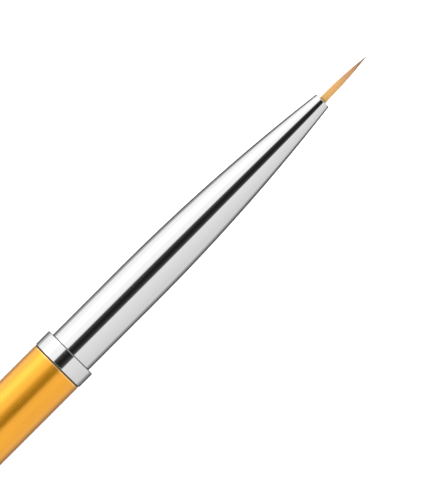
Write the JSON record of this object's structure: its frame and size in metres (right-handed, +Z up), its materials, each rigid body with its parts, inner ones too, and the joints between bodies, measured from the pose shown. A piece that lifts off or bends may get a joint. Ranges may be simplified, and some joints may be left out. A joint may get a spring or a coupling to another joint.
{
  "type": "detail brush",
  "caption": "Fine pointed brush whose bullet-shaped chromed head plugs into a hollow gold tube handle and pulls out to be turned round for storage.",
  "frame": {"origin": "under the middle of the brush's length, on the surface that it lies on", "axes": "+X along the brush towards the tuft, +Z up from the surface that it lies on"},
  "size_m": [0.158, 0.0082, 0.0082],
  "materials": {
    "gold_anodised": "satin gold anodised, fine lengthwise brushing",
    "chrome_plate": "bright chrome plate",
    "spigot_nickel": "turned, nickel plated",
    "ferrule_nickel": "drawn, nickel plated",
    "liner_nylon": "matt black nylon",
    "holder_plastic": "moulded, natural",
    "hair": "fine pointed hair, golden at the root and brown at the point",
    "thread": "waxed thread",
    "glue": "set epoxy"
  },
  "bodies": {
    "handle": {"handle_tube": "gold_anodised", "mouth_liner": "liner_nylon", "end_plug": "chrome_plate"},
    "head": {"nose_shell": "chrome_plate", "collar_ring": "chrome_plate", "rear_spigot": "spigot_nickel", "ferrule_holder": "holder_plastic", "inner_ferrule": "ferrule_nickel", "tuft_root": "hair", "tuft_binding": "thread", "root_glue": "glue"},
    "tuft": {"tuft": "hair"}
  },
  "joints": [
    {"name": "head_pull", "type": "slide", "parent": "handle", "child": "head", "axis": [1, 0, 0], "range_m": [0, 0.018]},
    {"name": "tuft_flex", "type": "hinge", "parent": "head", "child": "tuft", "pos_m": [0.07122, 0, 0.00407], "axis": [0, 0, 1], "range_deg": [-35, 35], "stiffness_Nm_per_rad": 0.0005}
  ]
}
